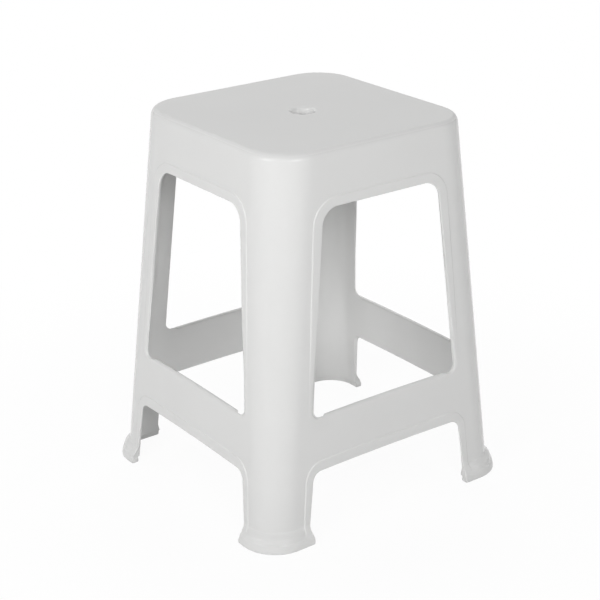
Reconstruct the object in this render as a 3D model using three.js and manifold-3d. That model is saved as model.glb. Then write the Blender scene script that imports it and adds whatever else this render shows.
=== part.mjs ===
// Stacking stool: a one-piece moulding with four corner legs, a flat seat with a finger hole,
// a window in each side and a stretcher with a rolled edge under each window.
// It is drawn as the regions that its mould shapes, each a solid of its own.
// Millimetres, +Z up, front towards -Y, origin on the floor under the middle of the stool.

import * as THREE from 'three';
import { mergeVertices } from 'three/addons/utils/BufferGeometryUtils.js';
import Module from 'manifold-3d';

// Outer faces of the drafted shell: at the floor, and where they would meet the seat's plane
const height = 450;
const seatWidth = 278.1;
const seatDepth = 280.3;
const baseWidth = 349.5;
const baseDepth = 330.2;
const seatCornerRadius = 50.2;
const baseCornerRadius = 36.5;

// Walls
const wall = 3;
const seatThickness = 3;
const seatEdgeRadius = 8;

// Finger hole: a rounded rim that runs down into a short collar
const holeRadius = 13.6;
const holeRimRadius = 4;
const collarWall = 2.6;
const collarDepth = 8.5;

// Ribs under the seat
const ribThickness = 2;
const ribDepth = 6;

// Window in each side; the apron is what is left above it
const apronHeight = 64.2;
const windowTopWidth = 162;
const windowBottomWidth = 208.8;
const windowTopRadius = 21;
const windowBottomRadius = 9;

// Raised band round the window
const windowBandAbove = 10.7;
const windowBandTopSide = 11;
const windowBandBottomSide = 4.5;

// Stretcher: its upper edge rolls inwards between the window's two bottom corners
const stretcherHeight = 64.1;
const lipRadius = 5.5;
const lipRise = 1.5;
const lipStart = 16.4;

// Opening between the legs under the stretcher
const openingHeight = 83.4;
const openingTopWidth = 214.8;
const openingFloorWidth = 236.8;
const openingRadius = 12;
const openingArch = 1.2;

// Raised band round that opening
const openingBandAbove = 12;
const openingBandTopSide = 10;
const openingBandBottomSide = 7.5;
const openingBandRadius = 20;
const openingBandFoot = 13;

// How far both bands stand out of the wall
const bandProud = 1;

// Foot: the wall flares out in two soft steps to a thick bar on the floor
const footHeight = 24;
const flareHeight = 21;
const flareOut = 8.9;
const shoeHeight = 6.8;
const shoeStep = 2.6;
const flareShares = [
  [0, 1], [0.26, 0.905], [0.58, 0.767], [0.72, 0.543], [0.865, 0.448], [1, 0.143], [1, 0],
];

// Gap between neighbouring regions, and how far cutting shapes run past what they cut
const seam = 0.3;
const overrun = 5;

// Smoothness of the faceted rounds
const cornerSteps = 8;
const edgeSteps = 5;
const outlineSteps = 6;
const archSteps = 8;
const holeSteps = 32;

const quarterTurn = Math.PI / 2;
const windowBottom = openingHeight + stretcherHeight;
const windowTop = height - apronHeight;
const windowMiddle = (windowBottom + windowTop) / 2;
const apronHalf = windowTopWidth / 2 - windowTopRadius;
const stretcherHalf = windowBottomWidth / 2 - lipStart;
const reach = (baseWidth + baseDepth) / 2;

const wasm = await Module();
wasm.setup();

const moulding = new THREE.MeshStandardMaterial({ color: 0xd2d2cf, roughness: 0.42, metalness: 0 });
const stool = new THREE.Group();

// A closed mesh as a solid that can be joined and cut
function solid(geometry) {
  geometry.deleteAttribute('normal');
  geometry.deleteAttribute('uv');
  const merged = mergeVertices(geometry);
  return new wasm.Manifold(new wasm.Mesh({
    numProp: 3,
    vertProperties: new Float32Array(merged.attributes.position.array),
    triVerts: new Uint32Array(merged.index.array),
  }));
}

// One named piece of the stool from a finished solid
function addPiece(name, piece) {
  const { vertProperties, triVerts } = piece.getMesh();
  const geometry = new THREE.BufferGeometry();
  geometry.setAttribute('position', new THREE.BufferAttribute(vertProperties, 3));
  geometry.setIndex(new THREE.BufferAttribute(triVerts, 1));
  geometry.computeVertexNormals();
  const mesh = new THREE.Mesh(geometry, moulding);
  mesh.name = name;
  stool.add(mesh);
}

function box(x0, x1, y0, y1, z0, z1) {
  const geometry = new THREE.BoxGeometry(x1 - x0, y1 - y0, z1 - z0);
  geometry.translate((x0 + x1) / 2, (y0 + y1) / 2, (z0 + z1) / 2);
  return geometry;
}

// The stool's rounded-rectangle plan at a height, grown outwards by a distance
function plan(z, out) {
  const share = z / height;
  const halfWidth = THREE.MathUtils.lerp(baseWidth, seatWidth, share) / 2 + out;
  const halfDepth = THREE.MathUtils.lerp(baseDepth, seatDepth, share) / 2 + out;
  const radius = THREE.MathUtils.lerp(baseCornerRadius, seatCornerRadius, share) + out;
  const points = [];
  for (let corner = 0; corner < 4; corner += 1) {
    const centreX = (corner === 0 || corner === 3 ? 1 : -1) * (halfWidth - radius);
    const centreY = (corner < 2 ? 1 : -1) * (halfDepth - radius);
    for (let step = 0; step <= cornerSteps; step += 1) {
      const angle = (corner + step / cornerSteps) * quarterTurn;
      points.push([centreX + radius * Math.cos(angle), centreY + radius * Math.sin(angle), z]);
    }
  }
  return points;
}

// A solid skin over plans at rising heights, closed at both ends
function loft(plans) {
  const count = plans[0].length;
  const last = (plans.length - 1) * count;
  const index = [];
  for (let level = 0; level < last; level += count) {
    for (let k = 0; k < count; k += 1) {
      const next = (k + 1) % count;
      index.push(level + k, level + next, level + count + next);
      index.push(level + k, level + count + next, level + count + k);
    }
  }
  for (let k = 1; k < count - 1; k += 1) {
    index.push(0, k + 1, k);
    index.push(last, last + k, last + k + 1);
  }
  const geometry = new THREE.BufferGeometry();
  geometry.setAttribute('position', new THREE.Float32BufferAttribute(plans.flat(2), 3));
  geometry.setIndex(index);
  return solid(geometry);
}

// Plans of a rounded upper edge that ends at a height, inside a wall face that is offset by out
function roundedEdge(top, radius, out) {
  const plans = [];
  for (let step = 0; step <= edgeSteps; step += 1) {
    const angle = (step / edgeSteps) * quarterTurn;
    plans.push(plan(top - radius * (1 - Math.sin(angle)), out - radius * (1 - Math.cos(angle))));
  }
  return plans;
}

// The filled outer form: flared foot, drafted walls, rounded seat edge
function outerForm() {
  const flare = flareShares.map(([out, up]) => plan(up * flareHeight, out * flareOut)).reverse();
  return loft([...flare, ...roundedEdge(height, seatEdgeRadius, 0)]);
}

// The hollow inside, kept clear of the walls by a distance; it widens at the foot bars
function hollow(clearance) {
  const inside = -wall - clearance;
  const atShoe = inside + shoeStep;
  return loft([
    plan(-overrun, atShoe),
    plan(shoeHeight, atShoe),
    plan(shoeHeight, inside),
    ...roundedEdge(height - seatThickness - clearance, seatEdgeRadius - wall, inside),
  ]);
}

// A closed outline from corners [across, up, radius], with each corner rounded to its radius
function roundedOutline(corners) {
  const points = [];
  corners.forEach(([across, up, radius], i) => {
    const corner = new THREE.Vector2(across, up);
    if (radius === 0) {
      points.push(corner);
      return;
    }
    const [beforeAcross, beforeUp] = corners[(i + corners.length - 1) % corners.length];
    const [afterAcross, afterUp] = corners[(i + 1) % corners.length];
    const toBefore = new THREE.Vector2(beforeAcross, beforeUp).sub(corner).normalize();
    const toAfter = new THREE.Vector2(afterAcross, afterUp).sub(corner).normalize();
    const half = Math.acos(toBefore.dot(toAfter)) / 2;
    const inward = toBefore.clone().add(toAfter).normalize();
    const centre = corner.clone().addScaledVector(inward, radius / Math.sin(half));
    const start = corner.clone().addScaledVector(toBefore, radius / Math.tan(half)).sub(centre);
    for (let step = 0; step <= outlineSteps; step += 1) {
      const turn = (step / outlineSteps) * (Math.PI - 2 * half);
      points.push(start.clone().rotateAround(new THREE.Vector2(), turn).add(centre));
    }
  });
  return new THREE.Shape(points);
}

// A trapezoid that stands on the side's middle line, wider at the bottom, with an arched top
function archway(bottom, bottomWidth, bottomRadius, top, topWidth, topRadius, arch) {
  const corners = [
    [-bottomWidth / 2, bottom, bottomRadius],
    [bottomWidth / 2, bottom, bottomRadius],
    [topWidth / 2, top, topRadius],
  ];
  for (let step = 1; arch > 0 && step < archSteps; step += 1) {
    const share = 1 - (2 * step) / archSteps;
    corners.push([share * topWidth / 2, top + arch * (1 - share * share), 0]);
  }
  corners.push([-topWidth / 2, top, topRadius]);
  return roundedOutline(corners);
}

// An outline pushed right through two opposite sides: turn 0 is front to back, 1 is side to side
function through(outline, turn) {
  const geometry = new THREE.ExtrudeGeometry(outline, { depth: 2 * reach, bevelEnabled: false });
  geometry.rotateX(quarterTurn);
  geometry.translate(0, reach, 0);
  geometry.rotateZ(turn * quarterTurn);
  return solid(geometry);
}

function throughBothWays(outline) {
  return through(outline, 0).add(through(outline, 1));
}

const windows = throughBothWays(archway(
  windowBottom, windowBottomWidth, windowBottomRadius,
  windowTop, windowTopWidth, windowTopRadius, 0,
));

const windowBands = throughBothWays(archway(
  windowBottom - windowBandBottomSide,
  windowBottomWidth + 2 * windowBandBottomSide,
  windowBottomRadius + windowBandBottomSide,
  windowTop + windowBandAbove,
  windowTopWidth + 2 * windowBandTopSide,
  windowTopRadius + windowBandAbove,
  0,
));

// The side slopes of the lower opening carry on below the floor, so that the cut is clean
const openingSpread = (openingFloorWidth - openingTopWidth) / openingHeight;
const openings = throughBothWays(archway(
  -overrun, openingFloorWidth + openingSpread * overrun, 0,
  openingHeight, openingTopWidth, openingRadius, openingArch,
));

const openingBands = throughBothWays(archway(
  openingBandFoot, openingFloorWidth + 2 * openingBandBottomSide, 0,
  openingHeight + openingBandAbove, openingTopWidth + 2 * openingBandTopSide,
  openingBandRadius, openingArch,
));

const proudForm = loft([plan(0, bandProud), plan(height - seatEdgeRadius, bandProud)]);
const bands = proudForm.intersect(windowBands.add(openingBands));
const shell = outerForm()
  .add(bands)
  .subtract(hollow(0))
  .subtract(windows)
  .subtract(openings);

// Seat panel: the flat plate inside the rounded edge, with a hole for the collar
const panelOutline = plan(height, -seatEdgeRadius - seam).map(([x, y]) => new THREE.Vector2(x, y));
const panelShape = new THREE.Shape(panelOutline);
const panelHoleRadius = holeRadius + holeRimRadius + seam;
panelShape.holes.push(new THREE.Path().absarc(0, 0, panelHoleRadius, 0, 4 * quarterTurn, true));
const panelGeometry = new THREE.ExtrudeGeometry(panelShape, {
  depth: seatThickness,
  bevelEnabled: false,
  curveSegments: holeSteps,
});
panelGeometry.translate(0, 0, height - seatThickness);
addPiece('seat_panel', solid(panelGeometry));
const panelSpace = loft([
  plan(height, -seatEdgeRadius).map(([x, y]) => [x, y, height - seatEdgeRadius - overrun]),
  plan(height, -seatEdgeRadius).map(([x, y]) => [x, y, height + overrun]),
]);

// Hole collar: the rounded rim and the short tube under it
const collarProfile = [];
for (let step = 0; step <= edgeSteps; step += 1) {
  const angle = (step / edgeSteps) * quarterTurn;
  collarProfile.push(new THREE.Vector2(
    holeRadius + holeRimRadius * (1 - Math.sin(angle)),
    height - holeRimRadius * (1 - Math.cos(angle)),
  ));
}
collarProfile.push(new THREE.Vector2(holeRadius, height - collarDepth));
collarProfile.push(new THREE.Vector2(holeRadius + collarWall, height - collarDepth));
collarProfile.push(new THREE.Vector2(holeRadius + collarWall, height - seatThickness));
collarProfile.push(new THREE.Vector2(holeRadius + holeRimRadius, height - seatThickness));
collarProfile.push(collarProfile[0].clone());
const collarGeometry = new THREE.LatheGeometry(collarProfile, holeSteps);
collarGeometry.rotateX(quarterTurn);
addPiece('hole_collar', solid(collarGeometry));

// Ribs: eight thin plates from the collar to the middles of the aprons and to the legs
const ribNames = ['right', 'back_right', 'back', 'back_left', 'left', 'front_left', 'front', 'front_right'];
const ribSpace = hollow(seam);
ribNames.forEach((name, i) => {
  const rib = box(
    holeRadius + holeRimRadius + seam, reach,
    -ribThickness / 2, ribThickness / 2,
    height - seatThickness - seam - ribDepth, height,
  );
  rib.rotateZ(i * quarterTurn / 2);
  addPiece(`seat_rib_${name}`, solid(rib).intersect(ribSpace));
});

// Distance from the middle of the stool to the outer face of a side at a height
function sideReach(z, turn) {
  const share = z / height;
  return turn % 2 === 0
    ? THREE.MathUtils.lerp(baseDepth, seatDepth, share) / 2
    : THREE.MathUtils.lerp(baseWidth, seatWidth, share) / 2;
}

// A block across a side's middle, on that side only
function sideBlock(half, z0, z1, turn) {
  const block = box(-half, half, -2 * reach, -reach / 4, z0, z1);
  block.rotateZ(turn * quarterTurn);
  return solid(block);
}

// Stretcher: the wall between the openings, with its upper edge rolled inwards
function stretcher(turn) {
  const lipTop = windowBottom + lipRise;
  const rollStart = lipTop - lipRadius;
  const foot = openingHeight - overrun;
  const outer = [[sideReach(foot, turn), foot]];
  const inner = [[sideReach(foot, turn) - wall, foot]];
  for (let step = 0; step <= edgeSteps; step += 1) {
    const angle = (step / edgeSteps) * quarterTurn;
    const outerUp = rollStart + lipRadius * Math.sin(angle);
    outer.push([sideReach(outerUp, turn) - lipRadius * (1 - Math.cos(angle)), outerUp]);
    const innerUp = rollStart + (lipRadius - wall) * Math.sin(angle);
    const innerTurn = (lipRadius - wall) * (1 - Math.cos(angle));
    inner.push([sideReach(innerUp, turn) - wall - innerTurn, innerUp]);
  }
  const profile = [...outer, ...inner.reverse()].map(([out, up]) => new THREE.Vector2(out, up));
  const half = stretcherHalf - seam / 2;
  const geometry = new THREE.ExtrudeGeometry(new THREE.Shape(profile), {
    depth: 2 * half,
    bevelEnabled: false,
  });
  geometry.translate(0, 0, -half);
  geometry.applyMatrix4(new THREE.Matrix4().makeBasis(
    new THREE.Vector3(0, -1, 0), new THREE.Vector3(0, 0, 1), new THREE.Vector3(-1, 0, 0),
  ));
  geometry.rotateZ(turn * quarterTurn);
  const band = bands
    .subtract(loft([plan(0, -wall / 2), plan(height, -wall / 2)]))
    .intersect(sideBlock(half, openingHeight - overrun, windowBottom - windowBandBottomSide - overrun, turn));
  return solid(geometry).add(band).subtract(openings);
}

// Sides: an apron above each window and a stretcher under it
const sideNames = ['front', 'right', 'back', 'left'];
const middles = sideNames.map((name, turn) => {
  const apronBlock = sideBlock(apronHalf - seam / 2, windowMiddle, height + overrun, turn);
  addPiece(`apron_${name}`, shell.intersect(apronBlock).subtract(panelSpace));
  addPiece(`stretcher_${name}`, stretcher(turn));
  return sideBlock(apronHalf + seam / 2, windowMiddle, height + overrun, turn)
    .add(sideBlock(stretcherHalf + seam / 2, footHeight, windowMiddle + overrun, turn));
});

// Corners: a leg with half a window surround on each side, and the flared foot under it
const cornerNames = ['front_right', 'back_right', 'back_left', 'front_left'];
cornerNames.forEach((name, turn) => {
  const legBlock = box(0, 2 * reach, -2 * reach, 0, footHeight + seam / 2, height + overrun);
  legBlock.rotateZ(turn * quarterTurn);
  const leg = shell
    .intersect(solid(legBlock))
    .subtract(middles[turn])
    .subtract(middles[(turn + 1) % 4])
    .subtract(panelSpace);
  addPiece(`leg_${name}`, leg);
  const footBlock = box(0, 2 * reach, -2 * reach, 0, -overrun, footHeight - seam / 2);
  footBlock.rotateZ(turn * quarterTurn);
  addPiece(`foot_${name}`, shell.intersect(solid(footBlock)));
});

export default stool;
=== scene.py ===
# Stacking stool moulded in one piece from pale grey polypropylene, on a pale studio floor.
import math

import bmesh
import bpy
from mathutils import Matrix, Vector


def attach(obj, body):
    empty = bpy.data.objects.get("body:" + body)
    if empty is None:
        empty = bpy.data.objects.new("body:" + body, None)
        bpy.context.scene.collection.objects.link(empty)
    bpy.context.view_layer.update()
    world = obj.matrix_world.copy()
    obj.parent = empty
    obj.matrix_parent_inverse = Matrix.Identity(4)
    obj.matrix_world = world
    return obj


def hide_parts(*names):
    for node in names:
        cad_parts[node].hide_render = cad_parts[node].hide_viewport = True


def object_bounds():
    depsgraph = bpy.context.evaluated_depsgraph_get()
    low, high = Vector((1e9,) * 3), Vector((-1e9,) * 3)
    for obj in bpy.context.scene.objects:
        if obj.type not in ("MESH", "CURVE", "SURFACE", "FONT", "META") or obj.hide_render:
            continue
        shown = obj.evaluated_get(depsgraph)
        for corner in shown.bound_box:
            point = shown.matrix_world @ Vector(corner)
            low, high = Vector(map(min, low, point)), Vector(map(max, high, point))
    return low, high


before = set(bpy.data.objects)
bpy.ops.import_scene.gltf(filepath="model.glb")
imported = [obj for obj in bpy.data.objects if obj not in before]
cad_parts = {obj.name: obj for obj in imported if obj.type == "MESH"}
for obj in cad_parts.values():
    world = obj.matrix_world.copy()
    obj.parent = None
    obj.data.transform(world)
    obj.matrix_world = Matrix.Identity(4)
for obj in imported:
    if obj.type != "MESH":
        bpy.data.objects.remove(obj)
cad_low, cad_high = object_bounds()

scene = bpy.context.scene
scene.view_settings.view_transform = "Standard"


# The moulded shell
# One injection moulding in polypropylene: four walls lean inwards and meet in round corners, which
# are the legs, and the flat seat closes the top. It is drawn as one quarter, from the middle of the
# right side round a corner to the middle of the back, and mirrored twice.
mm = 0.001
height = cad_high.z
seat_half = (139.05 * mm, 140.15 * mm)
base_half = (174.75 * mm, 165.1 * mm)
seat_corner = 50.2 * mm
base_corner = 36.5 * mm
wall = 3 * mm
seat_thickness = 3 * mm
seat_edge = 8 * mm
seat_underside = height - seat_thickness
wall_top = height - seat_edge


def share_up(z):
    """A height as a share of the stool's height."""
    return z / height


def side_at(side, z):
    """Distance from the middle of the stool to a side's outer face, side 0 to the right, 1 back."""
    return base_half[side] + (seat_half[side] - base_half[side]) * share_up(z)


def corner_at(z):
    """Radius of the rounded corners at a height."""
    return base_corner + (seat_corner - base_corner) * share_up(z)


def flat_end(side, z):
    """How far a side's flat face runs from its middle line before the corner's round begins."""
    return side_at(1 - side, z) - corner_at(z)


def on_side(side, across, z, out):
    """A point of a side: across from its middle line, at a height, out from its outer face."""
    reach = side_at(side, z) + out
    return Vector((reach, across, z)) if side == 0 else Vector((across, reach, z))


def on_corner(turn, z, out):
    """A point of the corner's round: turn 0 is where the right side's flat ends, 1 the back's."""
    radius = corner_at(z) + out
    angle = turn * math.pi / 2
    return Vector((
        flat_end(1, z) + radius * math.cos(angle),
        flat_end(0, z) + radius * math.sin(angle),
        z,
    ))


# The feet
# Under each leg the wall flares out in two soft steps to a thick bar that stands on the floor.
# Inside, the bar stands back from the leg's inner face by nearly a wall's thickness.
foot_top = 24 * mm
flare = [
    (foot_top, 0), (22.4 * mm, 0), (21.5 * mm, 0.05 * mm), (20.8 * mm, 0.3 * mm),
    (20 * mm, 1.1 * mm), (19 * mm, 2.3 * mm), (18 * mm, 3.45 * mm), (17 * mm, 4.5 * mm),
    (16.1 * mm, 5.3 * mm), (15.6 * mm, 5.6 * mm), (15.1 * mm, 5.78 * mm), (14.5 * mm, 5.92 * mm),
    (13 * mm, 6.17 * mm), (11.4 * mm, 6.42 * mm), (10.9 * mm, 6.56 * mm), (10.5 * mm, 6.83 * mm),
    (10.1 * mm, 7.18 * mm), (9.7 * mm, 7.48 * mm), (9.3 * mm, 7.68 * mm), (8.7 * mm, 7.82 * mm),
    (7.4 * mm, 8.05 * mm), (6.8 * mm, 8.18 * mm), (6.2 * mm, 8.3 * mm), (5.6 * mm, 8.42 * mm),
    (5 * mm, 8.52 * mm), (4.4 * mm, 8.6 * mm), (3.2 * mm, 8.75 * mm), (1.9 * mm, 8.85 * mm),
    (1.1 * mm, 8.8 * mm), (0.5 * mm, 8.55 * mm), (0.15 * mm, 8.1 * mm), (0, 7.6 * mm),
]
edge_flare = [
    (foot_top, 0), (22 * mm, 0.05 * mm), (20.5 * mm, 0.3 * mm), (19 * mm, 0.75 * mm),
    (17.5 * mm, 1.4 * mm), (16 * mm, 2.3 * mm), (14.5 * mm, 3.4 * mm), (13 * mm, 4.75 * mm),
    (11.7 * mm, 5.95 * mm), (10.5 * mm, 6.9 * mm), (9 * mm, 7.7 * mm), (7.4 * mm, 8.15 * mm),
    (5.6 * mm, 8.4 * mm), (3.2 * mm, 8.65 * mm), (1.9 * mm, 8.7 * mm), (1.1 * mm, 8.6 * mm),
    (0.5 * mm, 8.3 * mm), (0.15 * mm, 7.9 * mm), (0, 7.4 * mm),
]
foot_rows = [z for z, out in reversed(flare)]
flare_blend = 22 * mm
bar_height = 6.8 * mm
bar_step = 2.8 * mm
bar_step_half = 0.6 * mm
bar_taper = 0.8 * mm
bar_taper_from = 1 * mm
sole_round = 0.9 * mm
sole_round_height = 1.2 * mm


def smooth(low, high, value):
    """0 up to the low value, 1 from the high one on, and a soft step between them."""
    share = min(1, max(0, (value - low) / (high - low)))
    return share * share * (3 - 2 * share)


def interpolated(pairs, value):
    """Straight interpolation in a list of (position, amount) pairs with falling positions."""
    for (high, at_high), (low, at_low) in zip(pairs, pairs[1:]):
        if value >= low:
            share = min(1, max(0, (value - low) / (high - low)))
            return at_low + (at_high - at_low) * share
    return pairs[-1][1]


def foot_out(z, from_edge):
    """How far a foot stands out at a height; the flare is softer towards the leg's free edges."""
    share = smooth(0, flare_blend, from_edge)
    return interpolated(edge_flare, z) * (1 - share) + interpolated(flare, z) * share


def inner_at(z):
    """How far the inner face lies from the wall's plain outer face; at the bar it is nearly level."""
    stepped = 1 - smooth(bar_height - bar_step_half, bar_height + bar_step_half, z)
    rounded = 1 - smooth(0, sole_round_height, z)
    tapered = 1 - smooth(bar_taper_from, bar_height, z)
    return -wall + bar_step * stepped + (sole_round * rounded - bar_taper * tapered)


# The windows
# Each side has a tall window with a raised band round its top and sides. The band narrows
# towards the stretcher and ends round the bottom corners, between which the stretcher's upper edge
# is rolled inwards. The straight of a side ends some room, in radii, above its bottom corner.
window_top = 385.75 * mm
window_bottom = 147.5 * mm
window_top_half = 81.6 * mm
window_bottom_half = 103.6 * mm
window_top_radius = 21 * mm
window_bottom_radius = 9 * mm
top_corner_room = 1 * mm
bottom_corner_room = 1.2
window_lean = [(window_top, -1.2 * mm), (window_bottom, 2.2 * mm)]
band_proud = 1 * mm
band_step = 1.4 * mm
band_above_window = 10.7 * mm
band_under_corner = 2 * mm
band_beside_window = [(window_top, 10.8 * mm), (270 * mm, 9.4 * mm), (170 * mm, 7.4 * mm), (0, 7 * mm)]
band_fade = (165 * mm, 270 * mm)
band_least = 0.15
rim_radius = 1.2 * mm
rim_softer = (2.6 * mm, 0.8 * mm)
rim_fade = (165 * mm, 280 * mm)
rim_land = 0.8 * mm
inner_rim_radius = 1 * mm
lip_radius = 4 * mm
lip_rise = 0.9 * mm
lip_arch = 1 * mm
lip_start = 91 * mm
lip_blend = 6 * mm
lip_rises = (lip_start - lip_blend * 0.7, lip_start + lip_blend * 0.3)
lip_rolls = (lip_start - lip_blend, lip_start + lip_blend * 0.35)
straight_down = 0.99


def equal_turns(steps, whole=math.pi / 2):
    """The angles from 0 to a quarter turn, or to another whole, in equal steps."""
    return [k / steps * whole for k in range(steps + 1)]


def rim_section(width, proud, outer, inner, lean=0, roll=(rim_radius, rim_radius), inner_lean=0):
    """Across a wall's free edge: (into the wall, out of its face), from the outer face inwards."""
    roll_across, roll_deep = roll
    points = []
    for share in (0, 0.25, 0.5, 0.75, 1):
        into = width + band_step * (1 - share)
        points.append((into, outer(into) + proud * smooth(0, 1, share)))
    middle = (width + roll_across + lean) / 2
    points.append((middle, outer(middle) + proud))
    for angle in equal_turns(4):
        into = roll_across * (1 - math.sin(angle)) + lean
        points.append((into, outer(into) + proud - roll_deep * (1 - math.cos(angle))))
    for angle in equal_turns(3):
        points.append((
            inner_lean + inner_rim_radius * (1 - math.cos(angle)),
            inner + inner_rim_radius * (1 - math.sin(angle)),
        ))
    return points


def lip_section():
    """Across the stretcher's rolled edge, with as many points as the plain rim has."""
    points = [(lip_radius + band_step, 0)]
    for angle in equal_turns(6):
        points.append((lip_radius * (1 - math.sin(angle)), -lip_radius * (1 - math.cos(angle))))
    tip = wall / 2
    for angle in equal_turns(4, math.pi)[1:]:
        points.append((tip * (1 - math.cos(angle)), -lip_radius - tip * math.sin(angle)))
    inside = lip_radius - wall
    for angle in reversed(equal_turns(3)[:-1]):
        points.append((lip_radius - inside * math.sin(angle), -lip_radius + inside * math.cos(angle)))
    return points


def lip_height(across):
    """The lip stands a little above the window's bottom corners and is slightly arched."""
    return lip_rise + lip_arch * (1 - (across / lip_start) ** 2)


def rounded_corner(corner, before, after, radius, steps):
    """A corner's round, from the straight before it to the one after: (spot, way out) pairs."""
    half = math.acos(max(-1, min(1, before.dot(after)))) / 2
    centre = corner + (before + after).normalized() * radius / math.sin(half)
    start = (corner + before * radius / math.tan(half) - centre).normalized()
    end = (corner + after * radius / math.tan(half) - centre).normalized()
    turn = start.angle_signed(end)
    points = []
    for k in range(steps + 1):
        angle = -turn * k / steps
        way = Vector((
            start.x * math.cos(angle) - start.y * math.sin(angle),
            start.x * math.sin(angle) + start.y * math.cos(angle),
        ))
        points.append((centre + way * radius, way))
    return points


def window_path():
    """Half the window's edge from its top middle to its bottom middle: (spot, way into the wall)."""
    slope = math.atan((window_bottom_half - window_top_half) / (window_top - window_bottom))
    side = Vector((math.sin(slope), -math.cos(slope)))
    inwards, upwards, downwards = Vector((-1, 0)), Vector((0, 1)), Vector((0, -1))
    top_corner = Vector((window_top_half, window_top))
    bottom_corner = Vector((window_bottom_half, window_bottom))
    top_end = window_top_half - window_top_radius - top_corner_room
    top_steps, top_corner_steps, side_steps = 6, 14, 25
    bottom_corner_steps, rise_steps, lip_steps = 10, 30, 8
    path = [(Vector((k / top_steps * top_end, window_top)), upwards) for k in range(top_steps)]
    path += rounded_corner(top_corner, inwards, side, window_top_radius, top_corner_steps)
    start, start_way = path[-1]
    end = bottom_corner - side * window_bottom_radius * bottom_corner_room
    for k in range(1, side_steps):
        path.append((start.lerp(end, k / side_steps), start_way))
    path += rounded_corner(bottom_corner, -side, inwards, window_bottom_radius, bottom_corner_steps)
    last = path[-1][0]
    for k in range(1, rise_steps + 1):
        share = k / rise_steps
        across = last.x - share * (last.x - lip_start + lip_blend)
        rise = lip_height(across) * (1 - smooth(*lip_rises, across))
        path.append((Vector((across, window_bottom + rise)), downwards))
    last = path[-1][0]
    for k in range(1, lip_steps + 1):
        across = last.x * (1 - k / lip_steps)
        path.append((Vector((across, window_bottom + lip_height(across))), downwards))
    return path


def window_section(edge, way):
    """The section at a point of the window's edge: rim, narrowing rim or rolled lip."""
    width = interpolated(band_beside_window, edge.y) if way.x > 0 else band_above_window
    down = -way.y
    under_corner = smooth(0.1, 1, down)
    width = width * (1 - under_corner) + band_under_corner * under_corner
    fade = band_least + (1 - band_least) * smooth(*band_fade, edge.y)
    proud = band_proud * fade * (1 - smooth(0.5, 1, down))
    lean = interpolated(window_lean, edge.y) * abs(way.x)
    softer = (1 - smooth(*rim_fade, edge.y)) * abs(way.x)
    roll = (rim_radius + rim_softer[0] * softer, rim_radius + rim_softer[1] * softer)
    width = max(width, roll[0] + lean + rim_land)
    section = rim_section(width, proud, lambda into: 0, -wall, lean, roll)
    if down < straight_down:
        return section
    lip = 1 - smooth(*lip_rolls, edge.x)
    return [
        (a[0] * (1 - lip) + b[0] * lip, a[1] * (1 - lip) + b[1] * lip)
        for a, b in zip(section, lip_section())
    ]


def mapped_grid(mesh, columns, rows, place):
    """A sheet of quads whose vertices are placed by their column and row."""
    made = bmesh.ops.create_grid(mesh, x_segments=columns, y_segments=rows, size=0.5)
    for vert in made["verts"]:
        column = round((vert.co.x + 0.5) * columns)
        row = round((vert.co.y + 0.5) * rows)
        vert.co = place(column, row)


def add_edge_band(mesh, side, path, sections):
    """The sheet that follows a free edge of a side, with one section at each point of its path."""
    def place(column, row):
        (edge, way), (into, out) = path[column], sections[column][row]
        spot = edge + way * into
        return on_side(side, spot.x, spot.y, out)

    mapped_grid(mesh, len(path) - 1, len(sections[0]) - 1, place)


def add_window(mesh, side):
    """Half a window's edge, with the stretcher's rolled lip."""
    path = window_path()
    add_edge_band(mesh, side, path, [window_section(edge, way) for edge, way in path])


# The openings between the legs
# Under each stretcher the wall is open down to the floor. A raised band follows the arched edge
# and the legs' free edges, and fades out where the feet flare.
opening_top = 83.4 * mm
opening_arch = 1.2 * mm
opening_top_half = 107.4 * mm
opening_floor_half = 118.6 * mm
opening_radius = 12 * mm
opening_lean = [(74 * mm, 3 * mm), (28 * mm, 0.9 * mm), (9 * mm, 0)]
band_over_opening = 12 * mm
band_down_leg = [(70 * mm, 9.6 * mm), (45 * mm, 8.6 * mm), (foot_top, 7.6 * mm), (0, 7.6 * mm)]
band_curl = 1.5 * mm
band_curl_fade = (18 * mm, 12 * mm)
band_foot_fade = (11 * mm, 17 * mm)
band_foot = 126 * mm
toe_reach = (1.5 * mm, 3.3 * mm)
toe_low = (4.6 * mm, 4.5 * mm)
toe_high = (6.6 * mm, 18 * mm)


def free_edge(side, z):
    """Where a leg's free edge lies at a height; the foot's bar reaches a little further."""
    toe = toe_reach[side] * (1 - smooth(toe_low[side], toe_high[side], z))
    return opening_floor_half - (opening_floor_half - opening_top_half) * z / opening_top - toe


def opening_path(side):
    """Half the opening's edge, from the stretcher's middle round the corner and down the leg."""
    slope = math.atan((opening_floor_half - opening_top_half) / opening_top)
    half = (math.pi / 2 + slope) / 2
    reach = opening_radius / math.tan(half)
    corner = Vector((opening_top_half, opening_top))
    centre = corner + Vector((-reach, -opening_radius))
    arch_end = corner.x - reach
    arch_steps, corner_steps, down_steps = 12, 12, 6
    path = []
    for k in range(arch_steps):
        across = k / arch_steps * arch_end
        arch = opening_arch * (1 - (across / arch_end) ** 2)
        path.append((Vector((across, opening_top + arch)), Vector((0, 1))))
    for k in range(corner_steps + 1):
        angle = math.pi / 2 - k / corner_steps * (math.pi - 2 * half)
        way = Vector((math.cos(angle), math.sin(angle)))
        path.append((centre + way * opening_radius, way))
    above_foot = path[-1][0].y - foot_top
    rows = [foot_top + above_foot * k / down_steps for k in range(down_steps - 1, 0, -1)]
    for z in rows + foot_rows[::-1]:
        path.append((Vector((free_edge(side, z), z)), Vector((1, 0))))
    return path


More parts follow.
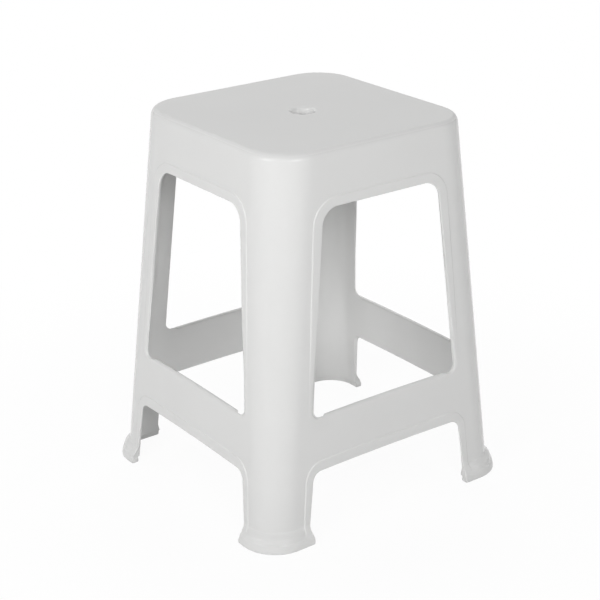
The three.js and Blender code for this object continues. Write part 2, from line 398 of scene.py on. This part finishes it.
def opening_section(edge, way):
    """The section at a point of the opening's edge; down the leg it follows the foot's flare."""
    down_leg = smooth(0, 1, way.x)
    width = band_over_opening * (1 - down_leg) + interpolated(band_down_leg, edge.y) * down_leg
    curl = smooth(*band_curl_fade, edge.y) if way.x == 1 else 0
    width = min(width + band_curl * curl, band_foot - edge.x)
    proud = band_proud * smooth(*band_foot_fade, edge.y)

    def outer(into):
        return foot_out(edge.y, into) if way.x == 1 else 0

    inner_lean = interpolated(opening_lean, edge.y) * down_leg
    return rim_section(width, proud, outer, inner_at(edge.y), inner_lean=inner_lean)


# The legs
# Each leg is the rounded corner between two walls, and runs from the foot up to the seat's edge.
# Flat strips join a foot's round to the leg's two free edges.
corner_columns = 22
leg_steps = 16
leg_span = wall_top - foot_top
leg_rows = foot_rows + [foot_top + leg_span * k / leg_steps for k in range(1, leg_steps + 1)]
bar_rows = [z for z in foot_rows if z < bar_height + 2 * mm]
inner_rows = bar_rows + [z for z in leg_rows if z >= foot_top]


def add_leg(mesh):
    """The leg's round, outside and inside."""
    def outside(column, row):
        turn, z = column / corner_columns, leg_rows[row]
        arc = corner_at(z) * math.pi / 2
        from_right = flat_end(0, z) - free_edge(0, z) + arc * turn
        from_back = flat_end(1, z) - free_edge(1, z) + arc * (1 - turn)
        return on_corner(turn, z, foot_out(z, min(from_right, from_back)))

    def inside(column, row):
        z = inner_rows[row]
        return on_corner(column / corner_columns, z, inner_at(z))

    mapped_grid(mesh, corner_columns, len(leg_rows) - 1, outside)
    mapped_grid(mesh, corner_columns, len(inner_rows) - 1, inside)


def add_foot_strips(mesh, side, path, sections):
    """The flat strips of a foot, between the leg's free edge and its round."""
    found = {round(edge.y / mm, 3): (edge, section) for (edge, way), section in zip(path, sections)}

    def strip(rows, columns, point, out_at):
        def place(column, row):
            z = rows[row]
            edge, section = found[round(z / mm, 3)]
            into, out = section[point]
            across = edge.x + into
            spot = across + (flat_end(side, z) - across) * column / columns
            return on_side(side, spot, z, out_at(z, spot, out))

        mapped_grid(mesh, columns, len(rows) - 1, place)

    strip(foot_rows, columns=4, point=0, out_at=lambda z, spot, out: foot_out(z, spot - free_edge(side, z)))
    strip(bar_rows, columns=2, point=-1, out_at=lambda z, spot, out: out)


# The seat's edge
# The walls turn into the seat in a round, outside and inside. Outside, the round meets the flat
# seat in a soft crease.
crease = math.radians(22)
seat_inset = seat_edge * (1 - math.sin(crease)) / math.cos(crease)


def add_seat_edge(mesh, top, drop, tilt, out, steps):
    """One face of the round, from a drop below its top; it stops short of the seat's slope by a tilt."""
    radius = drop / math.cos(tilt)

    def place(column, row):
        angle = row / steps * (math.pi / 2 - tilt)
        z = top - drop + radius * math.sin(angle)
        inset = out - radius * (1 - math.cos(angle))
        if column == 0:
            return on_side(0, 0, z, inset)
        if column == corner_columns + 2:
            return on_side(1, 0, z, inset)
        return on_corner((column - 1) / corner_columns, z, inset)

    mapped_grid(mesh, corner_columns + 2, steps, place)


# The finger hole
# In the middle of the seat a hole takes one finger. Its rim is rounded and runs down into a
# short collar under the seat. The seat dips by about a millimetre towards it.
hole_radius = 13.6 * mm
hole_rim = 4 * mm
seat_dip = 1.1 * mm
collar_depth = 8.5 * mm
collar_wall = 2.6 * mm
hole_steps = 14


def add_hole(mesh):
    """A quarter of the hole: its rim, its bore and the collar round it."""
    profile = [
        (hole_radius + hole_rim * (1 - math.sin(angle)), height - hole_rim * (1 - math.cos(angle)))
        for angle in equal_turns(6)
    ]
    for angle in equal_turns(6, math.pi):
        profile.append((
            hole_radius + collar_wall / 2 * (1 - math.cos(angle)),
            height - collar_depth + collar_wall / 2 * (1 - math.sin(angle)),
        ))
    profile.append((hole_radius + collar_wall, seat_underside))
    verts = [mesh.verts.new((radius, 0, z)) for radius, z in profile]
    edges = [mesh.edges.new(pair) for pair in zip(verts, verts[1:])]
    bmesh.ops.spin(
        mesh, geom=verts + edges, cent=(0, 0, 0), axis=(0, 0, 1), angle=math.pi / 2, steps=hole_steps,
    )


# The whole moulding
# The mould fills the shell in one shot, so nothing is joined. Here the quarter's sheets are merged,
# flat faces close the aprons, stretchers, seat and soles, and two mirrors make the other quarters.
merge_distance = 0.02 * mm
near = 0.01 * mm
sharp_angle = math.radians(50)

quarter = bmesh.new()
for side in (0, 1):
    add_window(quarter, side)
    path = opening_path(side)
    sections = [opening_section(edge, way) for edge, way in path]
    add_edge_band(quarter, side, path, sections)
    add_foot_strips(quarter, side, path, sections)
add_leg(quarter)
add_seat_edge(quarter, top=height, drop=seat_edge, tilt=crease, out=0, steps=10)
add_seat_edge(quarter, top=seat_underside, drop=seat_edge - wall, tilt=0, out=-wall, steps=5)
add_hole(quarter)
bmesh.ops.remove_doubles(quarter, verts=quarter.verts, dist=merge_distance)


def vert_at(mesh, spot):
    """The vertex nearest to a spot."""
    return min(mesh.verts, key=lambda vert: (vert.co - spot).length)


def on_mirror(edge):
    """Whether an edge lies in one of the planes that the quarter is mirrored in."""
    return any(all(abs(vert.co[axis]) < near for vert in edge.verts) for axis in (0, 1))


def fill_flat(mesh, lies_in, closing):
    """Fills one flat stretch: its open border edges, and the straight edges that close it."""
    for one, other in closing:
        pair = (vert_at(mesh, one), vert_at(mesh, other))
        if mesh.edges.get(pair) is None:
            mesh.edges.new(pair)
    edges = [
        edge for edge in mesh.edges
        if len(edge.link_faces) < 2 and all(lies_in(vert.co) for vert in edge.verts)
        and not (edge.link_faces and on_mirror(edge))
    ]
    made = bmesh.ops.edgeloop_fill(mesh, edges=edges)
    bmesh.ops.triangulate(mesh, faces=made["faces"], ngon_method="BEAUTY")


window_edge = window_path()
for side in (0, 1):
    ends = {
        "apron": (window_section, window_edge[0]),
        "lip": (window_section, window_edge[-1]),
        "stretcher": (opening_section, opening_path(side)[0]),
    }
    for point, out in ((0, 0), (-1, -wall)):
        spots = {}
        for name, (section_at, (edge, way)) in ends.items():
            into, section_out = section_at(edge, way)[point]
            spot = edge + way * into
            spots[name] = on_side(side, spot.x, spot.y, section_out)

        def lies_in(spot, side=side, out=out):
            return abs(spot[side] - side_at(side, spot.z) - out) < near

        fill_flat(quarter, lies_in, [
            (on_side(side, 0, wall_top, out), spots["apron"]),
            (spots["lip"], spots["stretcher"]),
        ])
for level, inset, rim in (
    (height, seat_inset, hole_radius + hole_rim),
    (seat_underside, seat_edge, hole_radius + collar_wall),
):
    fill_flat(quarter, lambda spot, level=level: abs(spot.z - level) < near, [
        (on_side(0, 0, level, -inset), Vector((rim, 0, level))),
        (on_side(1, 0, level, -inset), Vector((0, rim, level))),
    ])
fill_flat(quarter, lambda spot: abs(spot.z) < near, [])
for vert in quarter.verts:
    if math.hypot(vert.co.x, vert.co.y) < hole_radius + hole_rim + near:
        vert.co.z -= seat_dip
for axis in ("X", "Y"):
    everything = quarter.verts[:] + quarter.edges[:] + quarter.faces[:]
    bmesh.ops.mirror(quarter, geom=everything, axis=axis, merge_dist=merge_distance)
bmesh.ops.recalc_face_normals(quarter, faces=quarter.faces)
for face in quarter.faces:
    face.smooth = True
for edge in quarter.edges:
    edge.smooth = edge.calc_face_angle(0) < sharp_angle
shell_data = bpy.data.meshes.new("stool_moulding")
quarter.to_mesh(shell_data)
quarter.free()
moulding = bpy.data.objects.new("stool_moulding", shell_data)
scene.collection.objects.link(moulding)
weighted = moulding.modifiers.new("flats keep flat", "WEIGHTED_NORMAL")
weighted.keep_sharp = True
weighted.weight = 100


# The plastic
# Pale grey polypropylene, smooth and glossy from a polished mould. The seat is finely grained and
# duller. Up close the plastic has an orange-peel skin and soft waves where it shrank.
dark_cloud = (0.658, 0.658, 0.652)
light_cloud = (0.668, 0.668, 0.662)
refraction = 1.49
seat_grain = 0.5
grain_from = height - 4.5 * mm
grain_full = height - 1.3 * mm
wall_gloss = (0.08, 0.11)
plastic = bpy.data.materials.new("pale_polypropylene")
plastic.use_nodes = True
nodes = plastic.node_tree.nodes
links = plastic.node_tree.links
surface = nodes["Principled BSDF"]
surface.inputs["IOR"].default_value = refraction
surface.inputs["Metallic"].default_value = 0
place = nodes.new("ShaderNodeTexCoord")


def noise(scale, detail):
    made = nodes.new("ShaderNodeTexNoise")
    made.inputs["Scale"].default_value = scale
    made.inputs["Detail"].default_value = detail
    made.inputs["Roughness"].default_value = 0.5
    links.new(place.outputs["Object"], made.inputs["Vector"])
    return made.outputs["Fac"]


def ranged(value, low, high, to_low, to_high):
    made = nodes.new("ShaderNodeMapRange")
    for name, amount in (("From Min", low), ("From Max", high), ("To Min", to_low), ("To Max", to_high)):
        made.inputs[name].default_value = amount
    links.new(value, made.inputs["Value"])
    return made.outputs["Result"]


def bumped(pattern, strength, depth):
    made = nodes.new("ShaderNodeBump")
    made.inputs["Strength"].default_value = strength
    made.inputs["Distance"].default_value = depth
    links.new(pattern, made.inputs["Height"])
    return made


clouds = nodes.new("ShaderNodeMix")
clouds.data_type = "RGBA"
clouds.inputs["A"].default_value = (*dark_cloud, 1)
clouds.inputs["B"].default_value = (*light_cloud, 1)
links.new(ranged(noise(scale=9, detail=3), 0.35, 0.65, 0, 1), clouds.inputs["Factor"])
links.new(clouds.outputs["Result"], surface.inputs["Base Color"])
height_above_floor = nodes.new("ShaderNodeSeparateXYZ")
links.new(place.outputs["Object"], height_above_floor.inputs["Vector"])
finish = nodes.new("ShaderNodeMix")
links.new(ranged(height_above_floor.outputs["Z"], grain_from, grain_full, 0, 1), finish.inputs["Factor"])
links.new(ranged(noise(scale=30, detail=4), 0.3, 0.7, *wall_gloss), finish.inputs["A"])
finish.inputs["B"].default_value = seat_grain
links.new(finish.outputs["Result"], surface.inputs["Roughness"])
skin = bumped(noise(scale=1400, detail=2), strength=0.03, depth=0.02 * mm)
waves = bumped(noise(scale=22, detail=1), strength=0.1, depth=0.3 * mm)
links.new(skin.outputs["Normal"], waves.inputs["Normal"])
links.new(waves.outputs["Normal"], surface.inputs["Normal"])
moulding.data.materials.append(plastic)
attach(moulding, "root")
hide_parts(*[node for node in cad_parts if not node.startswith("seat_rib_")])


# The ribs under the seat
# Eight thin ribs run from the collar to the aprons and the legs and stiffen the seat. They are
# moulded with the stool, a little thinner at their lower edges.
rib_root = 2 * mm
rib_edge = 1.5 * mm
rib_depth = 6 * mm
rib_rise = 1.2 * mm
rib_end = 3.5 * mm
rib_end_low = 2.4 * mm
rib_overlap = 1 * mm
rib_in_seat = 0.5 * mm
rib_round = 0.5 * mm
rib_names = [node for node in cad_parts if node.startswith("seat_rib_")]
ribs_mesh = bmesh.new()
for turn in range(8):
    angle = turn * math.pi / 4
    to_a_leg = turn % 2 == 1
    if to_a_leg:
        reach = math.hypot(flat_end(0, height), flat_end(1, height)) + seat_corner
    else:
        reach = seat_half[turn // 2 % 2]
    rib = bmesh.ops.create_cube(ribs_mesh, size=1)["verts"]
    for vert in rib:
        outer, side_sign, upper = vert.co.x > 0, math.copysign(0.5, vert.co.y), vert.co.z > 0
        if outer:
            vert.co.x = reach - (rib_end if upper else rib_end_low)
        else:
            vert.co.x = hole_radius + collar_wall - rib_overlap
        vert.co.y = side_sign * (rib_root if upper else rib_edge)
        depth = rib_depth if outer else rib_depth - rib_rise
        vert.co.z = seat_underside + (rib_in_seat if upper else -depth)
    lower = [
        edge for edge in ribs_mesh.edges
        if all(vert in rib and vert.co.z < seat_underside for vert in edge.verts)
        and edge.calc_length() > rib_root * 2
    ]
    made = bmesh.ops.bevel(
        ribs_mesh, geom=lower, offset=rib_round, segments=3, profile=0.5, affect="EDGES", material=-1,
    )
    moved = {vert for vert in rib if vert.is_valid} | set(made["verts"])
    bmesh.ops.rotate(ribs_mesh, verts=list(moved), cent=(0, 0, 0), matrix=Matrix.Rotation(angle, 3, "Z"))
bmesh.ops.recalc_face_normals(ribs_mesh, faces=ribs_mesh.faces)
ribs_data = bpy.data.meshes.new("seat_ribs")
ribs_mesh.to_mesh(ribs_data)
ribs_mesh.free()
ribs = bpy.data.objects.new("seat_ribs", ribs_data)
scene.collection.objects.link(ribs)
ribs.data.materials.append(plastic)
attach(ribs, "root")
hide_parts(*rib_names)


# The studio
# A wide pale floor under a white surround. The floor shows white to the camera and keeps a faint
# shadow near the stool.
floor_half = 6
floor_grey = 0.86
shadow_reach = (0.22, 0.75)
white_near_stool = 0.94
floor_mesh = bmesh.new()
bmesh.ops.create_grid(floor_mesh, x_segments=1, y_segments=1, size=floor_half)
floor_data = bpy.data.meshes.new("studio_floor")
floor_mesh.to_mesh(floor_data)
floor_mesh.free()
floor = bpy.data.objects.new("studio_floor", floor_data)
scene.collection.objects.link(floor)


def seen_as_backdrop(tree):
    """1 for rays that see the backdrop directly or in gloss or glass, 0 for its light."""
    path = tree.nodes.new("ShaderNodeLightPath")
    total = path.outputs["Is Camera Ray"]
    for name in ("Is Glossy Ray", "Is Transmission Ray"):
        more = tree.nodes.new("ShaderNodeMath")
        more.operation = "MAXIMUM"
        tree.links.new(total, more.inputs[0])
        tree.links.new(path.outputs[name], more.inputs[1])
        total = more.outputs["Value"]
    return total


floor_material = bpy.data.materials.new("studio_white")
floor_material.use_nodes = True
floor_tree = floor_material.node_tree
floor_paint = floor_tree.nodes["Principled BSDF"]
floor_paint.inputs["Base Color"].default_value = (floor_grey, floor_grey, floor_grey, 1)
floor_paint.inputs["Roughness"].default_value = 0.9
floor_paint.inputs["Specular IOR Level"].default_value = 0
floor_glow = floor_tree.nodes.new("ShaderNodeEmission")
floor_glow.inputs["Strength"].default_value = 1
floor_place = floor_tree.nodes.new("ShaderNodeTexCoord")
floor_far = floor_tree.nodes.new("ShaderNodeVectorMath")
floor_far.operation = "LENGTH"
floor_tree.links.new(floor_place.outputs["Object"], floor_far.inputs[0])
floor_fade = floor_tree.nodes.new("ShaderNodeMapRange")
floor_fade.interpolation_type = "SMOOTHSTEP"
floor_fade.inputs["From Min"].default_value = shadow_reach[0]
floor_fade.inputs["From Max"].default_value = shadow_reach[1]
floor_fade.inputs["To Min"].default_value = white_near_stool
floor_fade.inputs["To Max"].default_value = 1
floor_tree.links.new(floor_far.outputs["Value"], floor_fade.inputs["Value"])
floor_share = floor_tree.nodes.new("ShaderNodeMath")
floor_share.operation = "MULTIPLY"
floor_tree.links.new(floor_fade.outputs["Result"], floor_share.inputs[0])
floor_tree.links.new(seen_as_backdrop(floor_tree), floor_share.inputs[1])
floor_mix = floor_tree.nodes.new("ShaderNodeMixShader")
floor_tree.links.new(floor_share.outputs["Value"], floor_mix.inputs["Fac"])
floor_tree.links.new(floor_paint.outputs["BSDF"], floor_mix.inputs[1])
floor_tree.links.new(floor_glow.outputs["Emission"], floor_mix.inputs[2])
floor_tree.links.new(floor_mix.outputs["Shader"], floor_tree.nodes["Material Output"].inputs["Surface"])
floor.data.materials.append(floor_material)


# The surround and the lamps
# The white surround gives a little light of its own. Soft lamps stand round the stool at one
# distance, turned to a point inside it. The two main ones show in its gloss, the others only fill.
surround_light = 0.05
lamp_distance = 2.2
lamp_aim = Vector((0, 0, 0.25))
world = bpy.data.worlds.new("studio")
scene.world = world
world.use_nodes = True
sky = world.node_tree.nodes["Background"]
sky.inputs["Color"].default_value = (1, 1, 1, 1)
sky_share = world.node_tree.nodes.new("ShaderNodeMapRange")
sky_share.inputs["To Min"].default_value = surround_light
sky_share.inputs["To Max"].default_value = 1
world.node_tree.links.new(seen_as_backdrop(world.node_tree), sky_share.inputs["Value"])
world.node_tree.links.new(sky_share.outputs["Result"], sky.inputs["Strength"])


def softbox(name, azimuth, elevation, width, tall, power, shines=False):
    """A soft lamp facing the stool: direction in degrees, size in metres and power in watts."""
    light = bpy.data.lights.new(name, "AREA")
    light.shape = "RECTANGLE"
    light.size = width
    light.size_y = tall
    light.energy = power
    lamp = bpy.data.objects.new(name, light)
    scene.collection.objects.link(lamp)
    turn, rise = math.radians(azimuth), math.radians(elevation)
    way = Vector((math.sin(turn) * math.cos(rise), -math.cos(turn) * math.cos(rise), math.sin(rise)))
    lamp.matrix_world = (
        Matrix.Translation(lamp_aim + way * lamp_distance)
        @ way.to_track_quat("Z", "Y").to_matrix().to_4x4()
    )
    lamp.visible_glossy = shines


softbox("left_softbox", -82, 18, 0.7, 0.7, 8.3, shines=True)
softbox("right_softbox", -11, 20, 0.7, 0.7, 8.2, shines=True)
softbox("left_fill", -67, 30, 0.8, 0.65, 13.4)
softbox("right_fill", -27, 30, 0.8, 0.65, 13.5)
softbox("right_side", 60, 25, 1.6, 1.6, 7.4)
softbox("left_back", -150, 25, 1.6, 1.6, 12)
softbox("back_fill", 140, 45, 1.4, 1.4, 22.5)


# The camera
# It stands where the photograph was taken, found from the stool's corners and edges. Its lens and
# middle are given in pixels of a picture 600 pixels square.
azimuth = math.radians(-36.292)
elevation = math.radians(22.663)
roll = math.radians(-0.551)
distance = 1846.95 * mm
aim_height = 212.37 * mm
aim_sideways = -5.702
image_side = 600
focal_pixels = 1532.903
middle_column = 299.643
middle_row = 300.903
back = Vector((
    math.sin(azimuth) * math.cos(elevation),
    -math.cos(azimuth) * math.cos(elevation),
    math.sin(elevation),
))
right = Vector((math.cos(azimuth), math.sin(azimuth), 0))
up = back.cross(right)
target = Vector((0, 0, aim_height)) + right * aim_sideways * mm
camera_data = bpy.data.cameras.new("camera")
camera_data.sensor_width = 36
camera_data.lens = focal_pixels / image_side * camera_data.sensor_width
camera_data.shift_x = (image_side / 2 - middle_column) / image_side
camera_data.shift_y = (middle_row - image_side / 2) / image_side
camera = bpy.data.objects.new("camera", camera_data)
scene.collection.objects.link(camera)
rolled_right = right * math.cos(roll) + up * math.sin(roll)
rolled_up = up * math.cos(roll) - right * math.sin(roll)
camera.matrix_world = Matrix((
    (rolled_right.x, rolled_up.x, back.x, target.x + back.x * distance),
    (rolled_right.y, rolled_up.y, back.y, target.y + back.y * distance),
    (rolled_right.z, rolled_up.z, back.z, target.z + back.z * distance),
    (0, 0, 0, 1),
))
scene.camera = camera
